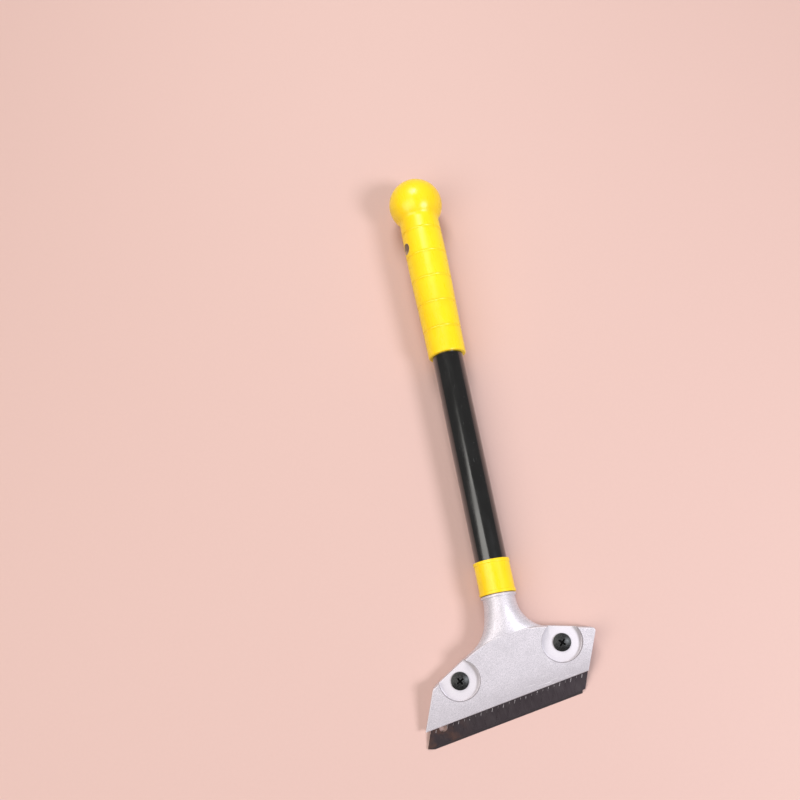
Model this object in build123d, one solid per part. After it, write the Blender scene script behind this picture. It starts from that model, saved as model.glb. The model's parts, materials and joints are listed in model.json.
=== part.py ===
from build123d import *

import os
from math import asin, atan2, cos, degrees, hypot, radians, sin, tan

# Short hand-held floor scraper. Millimetres and degrees.
#
# Everything is modelled in the shaft frame: Y is the axis of the tube, y = 0 is the
# shoulder of the cast head, +Y runs to the ball of the grip and +Z leaves the face that
# carries the screws. The finished parts are then laid on the floor (see rest_location):
# the tool lies on the ball of the grip and on the whole edge of the blade.

THROUGH = 40.0                # length of a cutter that passes clean through a round part

# ---- handle ---------------------------------------------------------------------------
TUBE_R = 10.0
TUBE_WALL = 1.2
TUBE_TOP = 253.6              # end of the tube, inside the grip
SPIGOT_LENGTH = 35.0
SPIGOT_CHAMFER = 1.0
RIVET_R = 2.5
RIVET_Y = 8.0
RIVET_FLUSH = 0.05            # ends of the rivet below the surface of the tube

BALL_R = 18.0
BALL_Y = 268.6
GRIP_LOWER = 156.7
GRIP_LOWER_R = 12.25
GRIP_LIP = 0.8
GRIP_RINGS_Y = 246.0          # uppermost ring groove
GRIP_RING_PITCH = 18.0
GRIP_RING_RADII = (13.45, 13.6, 13.4, 12.95, 12.55)
GRIP_RING_DEPTH = 0.5
GRIP_RING_TOOL_R = 1.2
GRIP_NECK = (257.4, 13.3)     # y and radius where the grip runs into the ball
GRIP_NECK_FILLET = 4.0

HANG_HOLE_R = 3.75
HANG_HOLE_Y = 234.9
HANG_HOLE_LEAN = 65.0         # from +Z towards -X

COLLAR_BORE_R = TUBE_R + 0.08
COLLAR_R = 10.95
COLLAR_LIP_R = 11.3
COLLAR_LIP = 2.0
COLLAR_LIP_EDGE_R = 0.34
COLLAR_START = 0.3
COLLAR_LENGTH = 20.4

# ---- head -----------------------------------------------------------------------------
SKEW = 9.45                   # blade edge against the square position across the shaft
FACE_PITCH = 19.1             # front face against the shaft
SEAT_PITCH = 11.6             # blade seat against the shaft
FACE_CENTRE = (-0.66, -39.70, 2.23)   # on the face, midway between the screws
REAR_Z = -9.8                 # flat back of the clamp plate, parallel to the shaft
END_SLANT = 30.0              # ends of jaw and blade against square

JAW_BOTTOM = -22.0            # outline of the front jaw, on the face
JAW_BOTTOM_LEFT = -62.5
JAW_BOTTOM_RIGHT = 41.4
JAW_SHOULDER = 0.7
JAW_SLOPE = 22.0
JAW_CROWN_R = 65.6
JAW_CORNER_R = 2.0
JAW_EDGE_MM = 2.7             # thickness along the bottom edge
JAW_BLANK = 9.0
JAW_DRAFT = 8.0
JAW_EDGE_R = 0.6
POCKET_TOP = 9.4              # wall at the top of the clamp plate's pocket, on the seat

RECESS_R = 12.33
RECESS_FILLET = 0.5
WEB = 2.0                     # left under a recess
SCREW_U = 32.5
SCREW_V = -0.7

# neck: y, share of the skew, half width, height above and below the shaft axis
NECK_SECTIONS = (
    (0.0, 0.0, 10.3, 10.3, 10.3),
    (-7.0, 0.0, 10.2, 10.1, 10.2),
    (-13.0, 0.5, 11.5, 9.7, 10.0),
    (-18.0, 1.0, 13.8, 9.0, 9.9),
    (-22.5, 1.0, 17.4, 8.1, 9.8),
    (-26.5, 1.0, 22.8, 6.4, 9.8),
    (-31.0, 1.0, 28.0, 4.6, 9.8),
)
SHOULDER_R = 10.85
SHOULDER_LIP = 1.8
SHOULDER_EDGE_R = 0.6

# ---- clamp plate, blade and screws ----------------------------------------------------
PLATE_INSET = 1.8
PLATE_TOP = 9.1
PLATE_EDGE_R = 0.8

BLADE_LENGTH = 100.0
BLADE_WIDTH = 20.0
BLADE_MM = 0.6
BLADE_EDGE = -33.1            # cutting edge, on the seat
BLADE_LEFT = -65.4            # sharp left end of the cutting edge before it is clipped
BLADE_CLIP = (4.8, 1.6)
BLADE_STEP = (1.7, 1.8)
BLADE_BEVEL = 1.6
BLADE_EDGE_LAND = 0.05
BLADE_HOLE_R = 2.4
BLADE_HOLE_U = -51.6
BLADE_SEGMENTS = 14
SCORE_DEPTH = 0.12
SCORE_WIDTH = 0.4

SCREW_R = 2.45
SCREW_LENGTH = 8.0
SCREW_HEAD_R = 5.4
SCREW_HEAD_EDGE_MM = 0.8
SCREW_HEAD_MM = 2.0
SCREW_HOLE_R = 2.75
TAPPED_R = 2.5
CROSS_SPAN = 6.2
CROSS_WIDTH = 1.3
CROSS_DEPTH = 1.4
CROSS_TURN_LEFT = 20.0
CROSS_TURN_RIGHT = 38.0

# ---- frames of the head ---------------------------------------------------------------
ALONG_BLADE = Vector(cos(radians(SKEW)), sin(radians(SKEW)), 0)


def head_plane(origin, pitch):
    """Plane whose x runs along the blade and which rises towards the handle by pitch."""
    up = Vector(0, 0, 1).rotate(Axis((0, 0, 0), ALONG_BLADE), pitch)
    return Plane(origin=origin, x_dir=ALONG_BLADE, z_dir=up)


def seat_plane():
    """The blade seat: JAW_EDGE_MM behind the face at the bottom edge of the jaw."""
    wedge = radians(FACE_PITCH - SEAT_PITCH)
    depth = JAW_EDGE_MM * cos(wedge) - JAW_BOTTOM * sin(wedge)
    up = head_plane((0, 0, 0), SEAT_PITCH).z_dir
    return head_plane(Vector(*FACE_CENTRE) - up * depth, SEAT_PITCH)


FACE = head_plane(FACE_CENTRE, FACE_PITCH)
SEAT = seat_plane()
HANG_AXIS = Vector(-sin(radians(HANG_HOLE_LEAN)), 0, cos(radians(HANG_HOLE_LEAN)))


def shaft_cylinder(radius, y_start, y_end):
    """Cylinder on the shaft axis between two stations."""
    base = Plane(origin=(0, y_start, 0), x_dir=(1, 0, 0), z_dir=(0, 1, 0))
    return extrude(base * Circle(radius), amount=y_end - y_start)


def hang_hole():
    """Cutter of the hang hole, clean through the grip and the tube."""
    middle = Plane(origin=(0, HANG_HOLE_Y, 0), x_dir=(0, 1, 0), z_dir=HANG_AXIS)
    return middle * Cylinder(HANG_HOLE_R, THROUGH)


def rivet_bore(length):
    """Cylinder of the rivet, square through the tube."""
    return Pos(0, RIVET_Y, 0) * Cylinder(RIVET_R, length)


# ---- handle ---------------------------------------------------------------------------
def make_shaft_tube():
    """Steel tube over the spigot of the head, run up inside the grip."""
    tube = shaft_cylinder(TUBE_R, 0, TUBE_TOP)
    tube -= shaft_cylinder(TUBE_R - TUBE_WALL, 0, TUBE_TOP)
    tube -= rivet_bore(THROUGH)
    return tube - hang_hole()


def make_retaining_rivet():
    """Rivet through tube and spigot, dressed flush so the collar slides over it."""
    return rivet_bore(THROUGH) & shaft_cylinder(TUBE_R - RIVET_FLUSH, RIVET_Y - 10, RIVET_Y + 10)


def make_grip():
    """Moulded grip: bellied sleeve with ring grooves, ending in a ball."""
    rings = [(r, GRIP_RINGS_Y - i * GRIP_RING_PITCH) for i, r in enumerate(GRIP_RING_RADII)]
    neck_y, neck_r = GRIP_NECK
    side = Spline((neck_r, neck_y), *rings, (GRIP_LOWER_R, GRIP_LOWER))
    inner = Polyline((GRIP_LOWER_R, GRIP_LOWER), (0, GRIP_LOWER), (0, neck_y), (neck_r, neck_y))
    profile = make_face([side, inner])
    for r, y in rings:
        profile -= Pos(r + GRIP_RING_TOOL_R - GRIP_RING_DEPTH, y) * Circle(GRIP_RING_TOOL_R)
    grip = revolve(profile, axis=Axis.Y)
    lower_rim = grip.edges().filter_by(GeomType.CIRCLE).sort_by(Axis.Y)[0]
    grip = fillet(lower_rim, GRIP_LIP)
    grip += Pos(0, BALL_Y, 0) * Sphere(BALL_R)
    joins = [e for e in grip.edges() if abs(e.center().Y - neck_y) < 1.5 and e.is_closed]
    grip = fillet(joins, GRIP_NECK_FILLET)
    grip -= shaft_cylinder(TUBE_R, GRIP_LOWER - 1, TUBE_TOP)
    return grip - hang_hole()


def make_collar():
    """Loose ferrule that covers the joint of head and tube, with a bead at each end."""
    end = COLLAR_START + COLLAR_LENGTH
    collar = shaft_cylinder(COLLAR_R, COLLAR_START, end)
    for y in (COLLAR_START, end - COLLAR_LIP):
        bead = shaft_cylinder(COLLAR_LIP_R, y, y + COLLAR_LIP)
        collar += fillet(bead.edges().filter_by(GeomType.CIRCLE), COLLAR_LIP_EDGE_R)
    return collar - shaft_cylinder(COLLAR_BORE_R, COLLAR_START - 1, end + 1)


# ---- head -----------------------------------------------------------------------------
def jaw_outline(bottom, inset):
    """Outline of the jaw: slanted ends, two slopes and the point where they would meet."""
    slant = tan(radians(END_SLANT))
    rise = JAW_SHOULDER - JAW_BOTTOM
    left = JAW_BOTTOM_LEFT + inset
    right = JAW_BOTTOM_RIGHT - inset
    left_top = left + rise * slant
    right_top = right + rise * slant
    apex = (right_top - left_top) / 2 * tan(radians(JAW_SLOPE))
    drop = (bottom - JAW_BOTTOM) * slant
    return [
        (left + drop, bottom),
        (right + drop, bottom),
        (right_top, JAW_SHOULDER),
        ((left_top + right_top) / 2, JAW_SHOULDER + apex),
        (left_top, JAW_SHOULDER),
    ]


def make_jaw():
    """Front jaw as a slab under the face, with its crown arc and rounded shoulders."""
    outline = make_face(Polyline(*jaw_outline(JAW_BOTTOM, 0), close=True))
    crown = outline.vertices().sort_by(Axis.Y)[-1]
    outline = fillet(crown, JAW_CROWN_R)
    shoulders = outline.vertices().filter_by_position(Axis.Y, JAW_SHOULDER - 0.1, JAW_SHOULDER + 0.1)
    outline = fillet(shoulders, JAW_CORNER_R)
    jaw = extrude(outline, amount=-JAW_BLANK, taper=JAW_DRAFT)
    rim = jaw.faces().sort_by(Axis.Z)[-1].edges().filter_by(GeomType.LINE)
    return FACE * fillet(rim, JAW_EDGE_R)


def neck_section(y, skew_share, half_width, above, below):
    """Cross-section of the neck: one half ellipse over another."""
    turn = radians(SKEW * skew_share)
    across = Vector(cos(turn), sin(turn), 0)
    plane = Plane(origin=(0, y, 0), x_dir=across, z_dir=across.cross(Vector(0, 0, 1)))
    upper = EllipticalCenterArc((0, 0), half_width, above, start_angle=0, arc_size=180)
    lower = EllipticalCenterArc((0, 0), half_width, below, start_angle=180, arc_size=180)
    return plane * make_face([upper, lower])


def make_neck():
    """Round neck that flares into the jaw, with a small lip at the shoulder."""
    neck = loft([neck_section(*station) for station in NECK_SECTIONS])
    lip = shaft_cylinder(SHOULDER_R, -SHOULDER_LIP, 0)
    return neck + fillet(lip.edges().filter_by(GeomType.CIRCLE), SHOULDER_EDGE_R)


def recess_cutter(u):
    """Spot face round a screw, square to the seat, with a small radius at its floor."""
    tool = Pos(u, 0, WEB) * Cylinder(RECESS_R, 30, align=(Align.CENTER, Align.CENTER, Align.MIN))
    floor_rim = tool.edges().filter_by(GeomType.CIRCLE).sort_by(Axis.Z)[0]
    return SEAT * fillet(floor_rim, RECESS_FILLET)


def make_head_body():
    """One casting: spigot, neck and front jaw, with the pocket of the clamp plate."""
    head = make_jaw() + make_neck()
    spigot = shaft_cylinder(TUBE_R - TUBE_WALL, -2, SPIGOT_LENGTH)
    head += chamfer(spigot.edges().filter_by(GeomType.CIRCLE).sort_by(Axis.Y)[-1], SPIGOT_CHAMFER)
    pocket = Box(200, 80, 40, align=(Align.CENTER, Align.MAX, Align.MAX))
    head -= SEAT * (Pos(0, POCKET_TOP, 0) * pocket)
    for u in (-SCREW_U, SCREW_U):
        head -= recess_cutter(u)
        head -= SEAT * (Pos(u, SCREW_V, 0) * Cylinder(SCREW_HOLE_R, 30))
    return head - rivet_bore(THROUGH)


# ---- clamp plate, blade and screws ----------------------------------------------------
def blade_outline():
    """Outline of the whole blade on the seat, before its corners are clipped."""
    slant = tan(radians(END_SLANT))
    lean = BLADE_WIDTH * slant
    top = BLADE_EDGE + BLADE_WIDTH
    right = BLADE_LEFT + BLADE_LENGTH
    return [(BLADE_LEFT, BLADE_EDGE), (right, BLADE_EDGE), (right + lean, top), (BLADE_LEFT + lean, top)]


def make_clamp_plate():
    """Rear plate: flat back parallel to the shaft, heel above a pocket for the blade."""
    seat_bottom = SEAT.to_local_coords(FACE.from_local_coords(Vector(0, JAW_BOTTOM, 0))).Y
    outline = make_face(Polyline(*jaw_outline(seat_bottom, PLATE_INSET), close=True))
    outline &= Pos(0, PLATE_TOP) * Rectangle(200, 80, align=(Align.CENTER, Align.MAX))
    plate = extrude(SEAT * outline, amount=-20)
    plate &= Pos(0, 0, REAR_Z) * Box(300, 300, 40, align=(Align.CENTER, Align.CENTER, Align.MIN))
    back = plate.faces().sort_by(Axis.Z)[0]
    plate = fillet(back.edges(), PLATE_EDGE_R)
    slot_height = BLADE_EDGE + BLADE_WIDTH
    slot = Box(300, 40, 2 * BLADE_MM, align=(Align.CENTER, Align.MAX, Align.CENTER))
    plate -= SEAT * (Pos(0, slot_height, 0) * slot)
    for u in (-SCREW_U, SCREW_U):
        plate -= SEAT * (Pos(u, SCREW_V, 0) * Cylinder(TAPPED_R, 60))
    return plate


def make_blade():
    """Snap-off strip: slanted ends and score lines, one ground bevel, a hole at the left."""
    slant = tan(radians(END_SLANT))
    blank = extrude(make_face(Polyline(*blade_outline(), close=True)), amount=-BLADE_MM)
    right = BLADE_LEFT + BLADE_LENGTH
    clip_u, clip_v = BLADE_CLIP
    clip = make_face(Polyline(
        (BLADE_LEFT - 5, BLADE_EDGE),
        (BLADE_LEFT + clip_u, BLADE_EDGE),
        (BLADE_LEFT + clip_v * slant, BLADE_EDGE + clip_v),
        (BLADE_LEFT - 5, BLADE_EDGE + clip_v),
        close=True,
    ))
    step_u, step_v = BLADE_STEP
    step = make_face(Polyline(
        (right - step_u, BLADE_EDGE - 1),
        (right + 5, BLADE_EDGE - 1),
        (right + 5, BLADE_EDGE + step_v),
        (right - step_u + step_v * slant, BLADE_EDGE + step_v),
        close=True,
    ))
    bevel = Plane.YZ * make_face(Polyline(
        (BLADE_EDGE, BLADE_EDGE_LAND - BLADE_MM),
        (BLADE_EDGE + BLADE_BEVEL, 0),
        (BLADE_EDGE + BLADE_BEVEL, 1),
        (BLADE_EDGE - 1, 1),
        (BLADE_EDGE - 1, BLADE_EDGE_LAND - BLADE_MM),
        close=True,
    ))
    blade = blank - extrude(clip + step, amount=2, both=True)
    blade -= extrude(bevel, amount=200, both=True)
    middle = BLADE_EDGE + BLADE_WIDTH / 2
    blade -= Pos(BLADE_HOLE_U, middle, 0) * Cylinder(BLADE_HOLE_R, 4)
    pitch = BLADE_LENGTH / BLADE_SEGMENTS
    for i in range(1, BLADE_SEGMENTS):
        u = BLADE_LEFT + i * pitch + BLADE_WIDTH / 2 * slant
        score = Box(SCORE_WIDTH, 2 * BLADE_WIDTH, 2 * SCORE_DEPTH)
        blade -= Pos(u, middle, 0) * Rot(0, 0, -END_SLANT) * score
    return SEAT * blade


def make_clamp_screw(u, cross_turn):
    """Truss-head cross-recess screw, its head bearing on the web of the recess."""
    profile = make_face([
        Line((0, -SCREW_LENGTH), (SCREW_R - 0.5, -SCREW_LENGTH)),
        Line((SCREW_R - 0.5, -SCREW_LENGTH), (SCREW_R, 0.5 - SCREW_LENGTH)),
        Line((SCREW_R, 0.5 - SCREW_LENGTH), (SCREW_R, 0)),
        Line((SCREW_R, 0), (SCREW_HEAD_R, 0)),
        Line((SCREW_HEAD_R, 0), (SCREW_HEAD_R, SCREW_HEAD_EDGE_MM)),
        TangentArc((0, SCREW_HEAD_MM), (SCREW_HEAD_R, SCREW_HEAD_EDGE_MM), tangent=(1, 0)),
        Line((0, SCREW_HEAD_MM), (0, -SCREW_LENGTH)),
    ])
    screw = revolve(Plane.XZ * profile, axis=Axis.Z)
    cross = Box(CROSS_SPAN, CROSS_WIDTH, 2 * CROSS_DEPTH) + Box(CROSS_WIDTH, CROSS_SPAN, 2 * CROSS_DEPTH)
    cross &= Pos(0, 0, -CROSS_DEPTH / 2) * Cone(CROSS_WIDTH, CROSS_SPAN / 2, CROSS_DEPTH)
    screw -= Pos(0, 0, SCREW_HEAD_MM) * Rot(0, 0, cross_turn) * cross
    return SEAT * (Pos(u, SCREW_V, WEB) * screw)


# ---- assembly -------------------------------------------------------------------------
def make_parts():
    """All sub-parts in the shaft frame."""
    return {
        "head_body": make_head_body(),
        "clamp_plate": make_clamp_plate(),
        "blade": make_blade(),
        "clamp_screw_left": make_clamp_screw(-SCREW_U, CROSS_TURN_LEFT),
        "clamp_screw_right": make_clamp_screw(SCREW_U, CROSS_TURN_RIGHT),
        "shaft_tube": make_shaft_tube(),
        "retaining_rivet": make_retaining_rivet(),
        "collar": make_collar(),
        "grip": make_grip(),
    }


def rest_tilt():
    """Angle about the blade edge that brings the ball down to the floor of the edge."""
    edge = SEAT.from_local_coords(Vector(0, BLADE_EDGE, -BLADE_MM))
    across = Vector(0, 0, 1).cross(ALONG_BLADE)
    reach = (Vector(0, BALL_Y, 0) - edge).dot(across)
    height = -edge.Z
    return degrees(asin(BALL_R / hypot(reach, height)) - atan2(height, reach))


def rest_location(parts):
    """Rest pose on the floor, the origin under the middle of the tool."""
    axis = Axis((0, 0, 0), ALONG_BLADE)
    tilt = rest_tilt()
    x_dir = Vector(1, 0, 0).rotate(axis, tilt)
    z_dir = Vector(0, 0, 1).rotate(axis, tilt)
    tilted = Plane(origin=(0, 0, 0), x_dir=x_dir, z_dir=z_dir).location
    box = Compound(children=[tilted * part for part in parts.values()]).bounding_box()
    middle = box.center()
    return Pos(-middle.X, -middle.Y, -box.min.Z) * tilted


PARTS = make_parts()
REST = rest_location(PARTS)

os.makedirs("parts", exist_ok=True)
for node, part in PARTS.items():
    placed = REST * part
    placed.label = node
    export_step(placed, f"parts/{node}.step")
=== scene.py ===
"""Floor scraper: looks, floor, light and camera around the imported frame.

Lengths are in metres and colours are linear.
"""
import json
import math

import bpy
from mathutils import Matrix, Quaternion, Vector


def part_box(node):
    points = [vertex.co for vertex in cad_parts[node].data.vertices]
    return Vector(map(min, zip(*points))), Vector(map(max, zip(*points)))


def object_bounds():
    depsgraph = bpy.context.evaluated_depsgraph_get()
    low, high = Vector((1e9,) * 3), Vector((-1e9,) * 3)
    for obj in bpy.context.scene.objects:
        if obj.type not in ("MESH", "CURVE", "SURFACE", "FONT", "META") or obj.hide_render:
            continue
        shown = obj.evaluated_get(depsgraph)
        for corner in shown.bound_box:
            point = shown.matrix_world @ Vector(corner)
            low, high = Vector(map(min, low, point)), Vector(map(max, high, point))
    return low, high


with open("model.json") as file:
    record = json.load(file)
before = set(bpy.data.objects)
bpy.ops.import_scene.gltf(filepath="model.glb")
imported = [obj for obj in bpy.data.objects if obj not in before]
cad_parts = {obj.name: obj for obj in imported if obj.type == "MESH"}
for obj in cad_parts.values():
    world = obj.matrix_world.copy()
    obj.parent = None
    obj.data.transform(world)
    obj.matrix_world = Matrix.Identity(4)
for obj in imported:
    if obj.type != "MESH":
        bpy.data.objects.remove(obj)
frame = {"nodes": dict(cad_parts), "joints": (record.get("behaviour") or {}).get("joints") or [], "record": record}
cad_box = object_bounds()
NODES = frame["nodes"]
JOINTS = {joint["name"]: joint for joint in frame["joints"]}

# ---- frames taken from the joints -------------------------------------------------------
LEFT_SCREW = Vector(JOINTS["clamp_screw_left_turn"]["pos_m"])
RIGHT_SCREW = Vector(JOINTS["clamp_screw_right_turn"]["pos_m"])
SEAT_NORMAL = Vector(JOINTS["clamp_screw_left_turn"]["axis"]).normalized()
SHAFT = Vector(JOINTS["collar_slide"]["axis"]).normalized()
SCREW_SPACING = (RIGHT_SCREW - LEFT_SCREW).length


def axes(origin, x_dir, z_dir):
    """Matrix of a frame with this origin, x direction and (squared up) z direction."""
    x_axis = x_dir.normalized()
    y_axis = z_dir.cross(x_axis).normalized()
    z_axis = x_axis.cross(y_axis)
    turned = Matrix((x_axis, y_axis, z_axis)).transposed()
    return Matrix.Translation(origin) @ turned.to_4x4()


# x along the blade, y towards the handle, z out of the seat; between the two screws
HEAD = axes((LEFT_SCREW + RIGHT_SCREW) / 2, RIGHT_SCREW - LEFT_SCREW, SEAT_NORMAL)
collar_low, collar_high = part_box("collar")
# z along the shaft from the middle of the collar
HANDLE = axes((collar_low + collar_high) / 2, Vector((1, 0, 0)), SHAFT)
# lower end of the grip, and the ring grooves above it, on that axis
GRIP_BELOW = (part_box("grip")[0].y - HANDLE.translation.y) / SHAFT.y
RING_ABOVE_END = 0.0171
RING_FIRST = GRIP_BELOW + RING_ABOVE_END
RING_PITCH = 0.018
RINGS = 5

hang_hole = next(mount for mount in frame["record"]["mounts"] if mount["name"] == "hang_hole")
# z along the bore of the hang hole
HANG_HOLE = axes(Vector(hang_hole["pos_m"]), SHAFT, Vector(hang_hole["axis"]))
HANG_HOLE_R = hang_hole["dims"]["r_mm"] / 1000

# heights and sizes that the materials follow, in the head's frame
SCREW_TOP = max((HEAD.inverted() @ vertex.co).z for vertex in NODES["clamp_screw_left"].data.vertices)
CROSS_R = 0.0031
RECESS_ABOVE_SCREW = 0.0007
RECESS_R = 0.01233
BLADE_EDGE_Y = -0.0324
BLADE_SLANT = math.radians(30)
BLADE_LENGTH = 0.1
SCORE_PITCH = BLADE_LENGTH / 14
SCORE_START = -0.0467
TICK_Y = -0.0228


# ---- materials --------------------------------------------------------------------------
class Look:
    """A Principled material and short ways to add the texture nodes that feed it."""

    def __init__(self, name, **values):
        self.material = bpy.data.materials.new(name)
        self.material.use_nodes = True
        self.tree = self.material.node_tree
        self.shader = self.tree.nodes["Principled BSDF"]
        for key, value in values.items():
            self.shader.inputs[key.replace("_", " ").title().replace("Ior", "IOR")].default_value = value

    def node(self, kind, settings=(), **links):
        """Adds a node, sets its properties, and links or sets its inputs.

        An input is given by its name, or by i and its number (i0, i1).
        """
        made = self.tree.nodes.new("ShaderNode" + kind)
        for key, value in dict(settings).items():
            setattr(made, key, value)
        for key, value in links.items():
            numbered = key[0] == "i" and key[1:].isdigit()
            self.feed(made.inputs[int(key[1:]) if numbered else key], value)
        return made

    def feed(self, socket, value):
        """Links an output to a socket, or sets the socket's value."""
        if isinstance(value, bpy.types.NodeSocket):
            self.tree.links.new(value, socket)
        else:
            socket.default_value = value

    def math(self, operation, a, b=0.0, clamp=False):
        """Result of one operation on a and b."""
        return self.node("Math", {"operation": operation, "use_clamp": clamp}, i0=a, i1=b).outputs[0]

    def place(self, matrix, stretch=(1, 1, 1)):
        """Coordinates in one of the frames above, divided by stretch."""
        coords = self.node("TexCoord").outputs["Object"]
        made = self.node("Mapping", {"vector_type": "TEXTURE"}, Vector=coords)
        made.inputs["Location"].default_value = matrix.to_translation()
        made.inputs["Rotation"].default_value = matrix.to_euler()
        made.inputs["Scale"].default_value = stretch
        return made.outputs[0]

    def split(self, vector):
        """The x, y and z of a vector."""
        return self.node("SeparateXYZ", (), Vector=vector).outputs

    def noise(self, vector, size, detail=3.0, roughness=0.55):
        """Noise whose features are about size metres, as a value round 0.5."""
        scale = 1.0 / size
        made = self.node("TexNoise", (), Vector=vector, Scale=scale, Detail=detail, Roughness=roughness)
        return made.outputs["Fac"]

    def span(self, value, low, high, to_low=0.0, to_high=1.0):
        """Maps low..high onto to_low..to_high, with a smooth step and clamped ends."""
        made = self.node("MapRange", {"interpolation_type": "SMOOTHSTEP"}, Value=value)
        for key, number in zip(("From Min", "From Max", "To Min", "To Max"), (low, high, to_low, to_high)):
            made.inputs[key].default_value = number
        return made.outputs[0]

    def band(self, value, centre, half, soft):
        """1 within half of centre, falling to 0 over soft."""
        away = self.math("ABSOLUTE", self.math("SUBTRACT", value, centre))
        return self.span(away, half, half + soft, 1.0, 0.0)

    def blend(self, factor, a, b):
        """Colour a where factor is 0, colour b where it is 1."""
        made = self.node("Mix", {"data_type": "RGBA"})
        self.feed(made.inputs[0], factor)
        self.feed(made.inputs[6], a)
        self.feed(made.inputs[7], b)
        return made.outputs[2]

    def radius(self, a, b):
        """Length of the vector (a, b)."""
        squares = self.math("ADD", self.math("POWER", a, 2.0), self.math("POWER", b, 2.0))
        return self.math("SQRT", squares)

    def bump(self, height, distance, strength=1.0, after=None):
        """Normal of a relief, on top of an earlier one if that is given."""
        made = self.node("Bump", (), Height=height, Strength=strength, Distance=distance)
        if after is not None:
            self.feed(made.inputs["Normal"], after)
        return made.outputs[0]

    def edges(self, radius):
        """1 close to a sharp or tightly rounded edge, 0 on flats."""
        rounded = self.node("Bevel", {"samples": 4}, Radius=radius).outputs[0]
        flat = self.node("NewGeometry").outputs["Normal"]
        same = self.node("VectorMath", {"operation": "DOT_PRODUCT"}, i0=rounded, i1=flat).outputs["Value"]
        return self.span(same, 0.995, 0.9, 0.0, 1.0)

    def wear(self, *nodes):
        """Puts the material on CAD nodes."""
        for name in nodes:
            mesh = NODES[name].data
            mesh.materials.clear()
            mesh.materials.append(self.material)


def grey(value):
    """Neutral colour, opaque."""
    return (value, value, value, 1.0)


# share of the painted shade in the ring grooves, and of the painted shade on the hang hole's wall
RING_GROOVE_SHADE = 0.12
HOLE_WALL_SHADE = 0.85


def yellow_plastic():
    """Moulded yellow plastic with orange peel and specks, painted shade in the ring grooves and on the hang hole's
    wall.
    """
    look = Look("yellow_plastic", specular_ior_level=0.5)
    along = look.place(HANDLE)
    cloud = look.noise(along, 0.03, 4)
    color = look.blend(look.span(cloud, 0.35, 0.7), (0.98, 0.69, 0.010, 1), (0.96, 0.62, 0.007, 1))
    specks = look.span(look.noise(along, 0.0006, 1), 0.74, 0.8)
    color = look.blend(look.math("MULTIPLY", specks, 0.3), color, (0.45, 0.27, 0.02, 1))
    side, depth = look.split(look.place(HANG_HOLE))[:2]
    painted_hole_shade = look.span(look.radius(side, depth), HANG_HOLE_R + 0.00005, HANG_HOLE_R + 0.0003, 1.0, 0.0)
    height = look.split(along)[2]
    turn = look.math("DIVIDE", look.math("SUBTRACT", height, RING_FIRST), RING_PITCH)
    off_ring = look.math("ABSOLUTE", look.math("SUBTRACT", turn, look.math("ROUND", turn)))
    on_grip = look.band(turn, (RINGS - 1) / 2, RINGS / 2, 0.1)
    # painted shade: a darker band in each ring groove
    painted_groove_shade = look.math("MULTIPLY", look.span(off_ring, 0.03, 0.075, 1.0, 0.0), on_grip)
    color = look.blend(look.math("MULTIPLY", painted_groove_shade, RING_GROOVE_SHADE), color, (0.80, 0.42, 0.006, 1))
    # painted shade: the hang hole's wall is coloured a dark greyish brown
    color = look.blend(look.math("MULTIPLY", painted_hole_shade, HOLE_WALL_SHADE), color, (0.42, 0.29, 0.29, 1))
    look.feed(look.shader.inputs["Base Color"], color)
    scuffs = look.noise(look.place(HANDLE, (1, 1, 4)), 0.004, 5, 0.7)
    look.feed(look.shader.inputs["Roughness"], look.span(scuffs, 0.3, 0.75, 0.22, 0.42))
    peel = look.bump(look.noise(along, 0.0012, 2), 0.00004, 0.5)
    look.feed(look.shader.inputs["Normal"], peel)
    return look


def black_tube():
    """Glossy black paint with drawing lines, dust and rubbed marks, bare under the grip."""
    look = Look("black_tube", specular_ior_level=0.6, coat_weight=0.9, coat_roughness=0.14)
    along = look.place(HANDLE)
    lines = look.noise(look.place(HANDLE, (1, 1, 25)), 0.0005, 2)
    patches = look.span(look.noise(along, 0.02, 2), 0.5, 0.66)
    scratches = look.math("MULTIPLY", look.span(lines, 0.68, 0.75), patches)
    dust = look.span(look.noise(along, 0.0007, 1), 0.75, 0.82)
    marks = look.math("MAXIMUM", scratches, look.math("MULTIPLY", dust, 0.6), True)
    paint = look.blend(marks, grey(0.003), grey(0.11))
    bare = look.span(look.split(along)[2], GRIP_BELOW + 0.002, GRIP_BELOW + 0.003)
    look.feed(look.shader.inputs["Base Color"], look.blend(bare, paint, grey(0.32)))
    smears = look.span(look.noise(look.place(HANDLE, (1, 1, 3)), 0.008, 4), 0.35, 0.7, 0.12, 0.26)
    rough = look.math("ADD", smears, look.math("MULTIPLY", marks, 0.25))
    look.feed(look.shader.inputs["Roughness"], rough)
    drawn = look.bump(look.noise(look.place(HANDLE, (1, 1, 12)), 0.003, 2), 0.00003, 0.35)
    look.feed(look.shader.inputs["Normal"], drawn)
    return look


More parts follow.
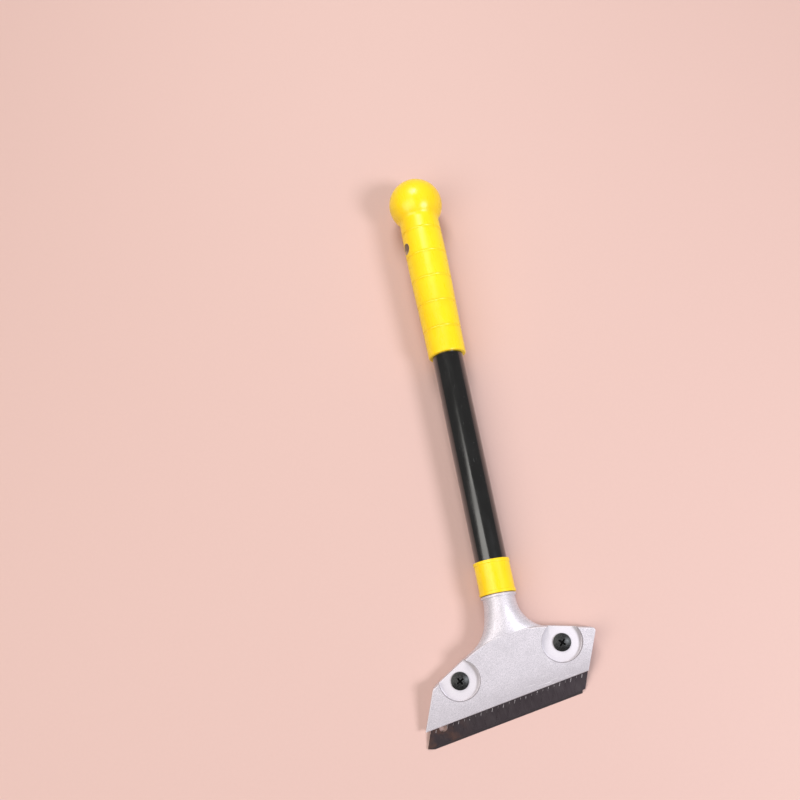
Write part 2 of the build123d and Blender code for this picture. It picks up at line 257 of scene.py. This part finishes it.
def cast_silver():
    """Silver painted casting, brighter in the recesses, with painted shade towards the blade, a painted dark line
    round the recesses and painted highlights on the edges.
    """
    look = Look("cast_silver", metallic=0.35)
    at = look.place(HEAD)
    grain = look.noise(at, 0.0005, 2, 0.7)
    mottle = look.noise(at, 0.006, 4)
    x, y, z = look.split(at)[:3]
    side = look.math("SUBTRACT", look.math("ABSOLUTE", x), SCREW_SPACING / 2)
    up = look.math("SUBTRACT", y, RECESS_ABOVE_SCREW)
    away = look.radius(side, up)
    low = look.span(z, 0.0002, 0.0008, 1.0, 0.0)
    spotface = look.math("MULTIPLY", look.span(away, RECESS_R - 0.0007, RECESS_R - 0.0002, 1.0, 0.0), low)
    # painted shade: a thin dark line round each recess, where its wall meets the face
    painted_recess_rim_shade = look.math("MULTIPLY", look.band(away, RECESS_R, 0.00008, 0.0002), look.span(z, 0.0, 0.0015))
    color = look.blend(look.span(grain, 0.3, 0.72), (0.50, 0.465, 0.50, 1), (0.84, 0.78, 0.83, 1))
    color = look.blend(look.span(mottle, 0.35, 0.75, 0.0, 0.25), color, (0.46, 0.43, 0.46, 1))
    color = look.blend(look.math("MULTIPLY", spotface, 0.75), color, (0.72, 0.67, 0.71, 1))
    # painted shade: the face darkens towards the blade, more so towards the right
    painted_shade_to_blade = look.math("MULTIPLY", look.span(y, -0.004, -0.022), look.span(x, -0.06, 0.05, 0.25, 0.6))
    color = look.blend(painted_shade_to_blade, color, (0.40, 0.36, 0.38, 1))
    # painted highlight: the edges are lightened
    color = look.blend(look.math("MULTIPLY", look.edges(0.0005), 0.6), color, (0.98, 0.96, 0.98, 1))
    color = look.blend(look.math("MULTIPLY", painted_recess_rim_shade, 0.75), color, (0.16, 0.13, 0.14, 1))
    scratch_at = look.place(HEAD @ Matrix.Rotation(math.radians(-3), 4, "Z"), (18, 1, 1))
    scratch = look.span(look.noise(scratch_at, 0.0006, 2), 0.64, 0.72)
    rubbed = look.math("MULTIPLY", look.span(y, -0.012, -0.018), look.span(x, -0.01, 0.015))
    cut = look.math("MULTIPLY", scratch, rubbed)
    color = look.blend(look.math("MULTIPLY", cut, 0.8), color, (0.92, 0.89, 0.91, 1))
    look.feed(look.shader.inputs["Base Color"], color)
    look.feed(look.shader.inputs["Roughness"], look.span(grain, 0.3, 0.7, 0.55, 0.38))
    relief = look.bump(grain, 0.00006, 0.6)
    relief = look.bump(look.math("MULTIPLY", cut, -1.0), 0.00008, 0.7, relief)
    look.feed(look.shader.inputs["Normal"], relief)
    return look


def blade_steel():
    """Dark oiled steel with a ground bevel and plain graduation ticks."""
    look = Look("blade_steel", metallic=0.8)
    at = look.place(HEAD)
    x, y = look.split(at)[:2]
    grind = look.noise(look.place(HEAD, (1, 20, 1)), 0.0003, 2)
    cloud = look.noise(at, 0.009, 4)
    color = look.blend(look.span(grind, 0.25, 0.75), (0.050, 0.037, 0.042, 1), (0.062, 0.049, 0.054, 1))
    color = look.blend(look.span(cloud, 0.45, 0.75, 0.0, 0.5), color, (0.085, 0.070, 0.074, 1))
    oiled = look.math("MULTIPLY", look.span(x, -0.034, -0.050), look.span(cloud, 0.42, 0.62))
    color = look.blend(look.math("MULTIPLY", oiled, 0.7), color, (0.120, 0.062, 0.048, 1))
    bevel = look.span(y, BLADE_EDGE_Y + 0.0017, BLADE_EDGE_Y + 0.0014)
    color = look.blend(look.math("MULTIPLY", bevel, 0.4), color, (0.15, 0.13, 0.14, 1))
    slanted = look.math("SUBTRACT", x, look.math("MULTIPLY", y, math.tan(BLADE_SLANT)))
    from_first = look.math("SUBTRACT", slanted, SCORE_START)
    phase = look.math("FRACT", look.math("DIVIDE", from_first, SCORE_PITCH))
    tick = look.math("MULTIPLY", look.band(phase, 0.5, 0.02, 0.015), look.band(y, TICK_Y, 0.0008, 0.0002))
    short = look.band(y, TICK_Y + 0.0003, 0.0005, 0.0002)
    half_tick = look.math("MULTIPLY", look.band(phase, 0.0, 0.02, 0.015), short)
    worn = look.span(look.noise(at, 0.0009, 2), 0.38, 0.5)
    printed = look.math("MULTIPLY", look.math("ADD", tick, half_tick, True), worn)
    color = look.blend(look.math("MULTIPLY", printed, 0.9), color, (0.50, 0.45, 0.46, 1))
    look.feed(look.shader.inputs["Base Color"], color)
    look.feed(look.shader.inputs["Roughness"], look.span(grind, 0.25, 0.75, 0.36, 0.44))
    look.feed(look.shader.inputs["Normal"], look.bump(grind, 0.000006, 0.2))
    return look


def black_screw():
    """Blackened steel with painted shade in the cross and painted highlights on the edges."""
    look = Look("black_screw", metallic=0.6)
    at = look.place(HEAD)
    x, y, z = look.split(at)[:3]
    grain = look.noise(at, 0.0006, 3, 0.7)
    color = look.blend(look.span(grain, 0.38, 0.66), grey(0.010), grey(0.055))
    # painted highlight: the edges are lightened
    color = look.blend(look.math("MULTIPLY", look.edges(0.0003), 0.6), color, grey(0.16))
    away = look.radius(look.math("SUBTRACT", look.math("ABSOLUTE", x), SCREW_SPACING / 2), y)
    sunk = look.span(z, SCREW_TOP - 0.0005, SCREW_TOP - 0.0007)
    # painted shade: the sunk cross is darkened to near black
    cross = look.math("MULTIPLY", sunk, look.span(away, CROSS_R, CROSS_R + 0.0002, 1.0, 0.0))
    color = look.blend(cross, color, grey(0.001))
    look.feed(look.shader.inputs["Base Color"], color)
    rough = look.span(grain, 0.3, 0.7, 0.28, 0.5)
    rough = look.math("MAXIMUM", rough, look.math("MULTIPLY", cross, 0.9))
    look.feed(look.shader.inputs["Roughness"], rough)
    look.feed(look.shader.inputs["Normal"], look.bump(grain, 0.00005, 0.6))
    return look


def rivet_steel():
    """Plain steel, dressed along the handle."""
    look = Look("rivet_steel", metallic=1.0)
    dressed = look.noise(look.place(HANDLE, (1, 1, 20)), 0.0005, 3)
    look.feed(look.shader.inputs["Base Color"], look.blend(dressed, grey(0.35), grey(0.6)))
    look.feed(look.shader.inputs["Roughness"], look.span(dressed, 0.3, 0.7, 0.3, 0.5))
    return look


yellow_plastic().wear("grip", "collar")
black_tube().wear("shaft_tube")
cast_silver().wear("head_body", "clamp_plate")
blade_steel().wear("blade")
black_screw().wear("clamp_screw_left", "clamp_screw_right")
rivet_steel().wear("retaining_rivet")


# ---- camera, floor and light ------------------------------------------------------------
CAMERA_AT = Vector((-0.0096, -0.1823, 0.6385))
LOOKS_AT = Vector((-0.0328, 0.0358, 0.0))
CAMERA_ROLL = math.radians(-17.35)
LENS_MM = 45.86
FLOOR_HALF_SIZE = 3.0
FLOOR_GAP = 0.0001
# sideways lean of the lights from the line of sight, and the direction of the third one
KEY_LEAN = 0.72
FILL_LEAN = 0.66
ALONG_HANDLE = Vector((0, 1.0, 1.1))
WORLD_TINT = (1.0, 0.97, 0.95, 1)
WORLD_STRENGTH = 0.22

camera = bpy.data.objects.new("camera", bpy.data.cameras.new("camera"))
bpy.context.scene.collection.objects.link(camera)
camera.location = CAMERA_AT
camera.rotation_mode = "QUATERNION"
aim = (LOOKS_AT - CAMERA_AT).to_track_quat("-Z", "Y")
camera.rotation_quaternion = aim @ Quaternion((0, 0, 1), CAMERA_ROLL)
camera.data.lens = LENS_MM
bpy.context.scene.camera = camera


def floor(size):
    """Plain pale floor under the object, size metres to each side of the middle."""
    mesh = bpy.data.meshes.new("floor")
    corners = [(-size, -size, 0), (size, -size, 0), (size, size, 0), (-size, size, 0)]
    mesh.from_pydata(corners, [], [(0, 1, 2, 3)])
    plane = bpy.data.objects.new("floor", mesh)
    plane.location.z = cad_box[0].z - FLOOR_GAP
    bpy.context.scene.collection.objects.link(plane)
    look = Look("floor", roughness=0.6)
    paper = look.noise(look.node("TexCoord").outputs["Object"], 0.002, 3)
    color = look.blend(paper, (0.61, 0.405, 0.360, 1), (0.63, 0.42, 0.375, 1))
    look.feed(look.shader.inputs["Base Color"], color)
    mesh.materials.append(look.material)


def softbox(name, direction, distance, width, height, watts, tint):
    """Area light aimed at the object from a direction."""
    light = bpy.data.lights.new(name, "AREA")
    light.shape = "RECTANGLE"
    light.size = width
    light.size_y = height
    light.energy = watts
    light.color = tint
    lamp = bpy.data.objects.new(name, light)
    middle = (cad_box[0] + cad_box[1]) / 2
    lamp.location = middle + direction.normalized() * distance
    lamp.rotation_mode = "QUATERNION"
    lamp.rotation_quaternion = (-direction).to_track_quat("-Z", "Y")
    bpy.context.scene.collection.objects.link(lamp)


floor(FLOOR_HALF_SIZE)
turned = camera.rotation_quaternion.to_matrix()
picture_right = turned.col[0]
towards_camera = turned.col[2]
softbox("key", towards_camera + KEY_LEAN * picture_right, 1.3, 0.33, 0.33, 11.0, (0.95, 0.99, 1.06))
softbox("fill", towards_camera - FILL_LEAN * picture_right, 1.2, 0.8, 1.2, 8.5, (1.03, 1.0, 0.95))
softbox("along", ALONG_HANDLE, 1.4, 0.5, 0.5, 9.5, (1.0, 0.99, 0.97))

world = bpy.data.worlds.new("studio")
bpy.context.scene.world = world
bpy.context.scene.view_settings.view_transform = "Standard"
world.use_nodes = True
world.node_tree.nodes["Background"].inputs["Color"].default_value = WORLD_TINT
world.node_tree.nodes["Background"].inputs["Strength"].default_value = WORLD_STRENGTH
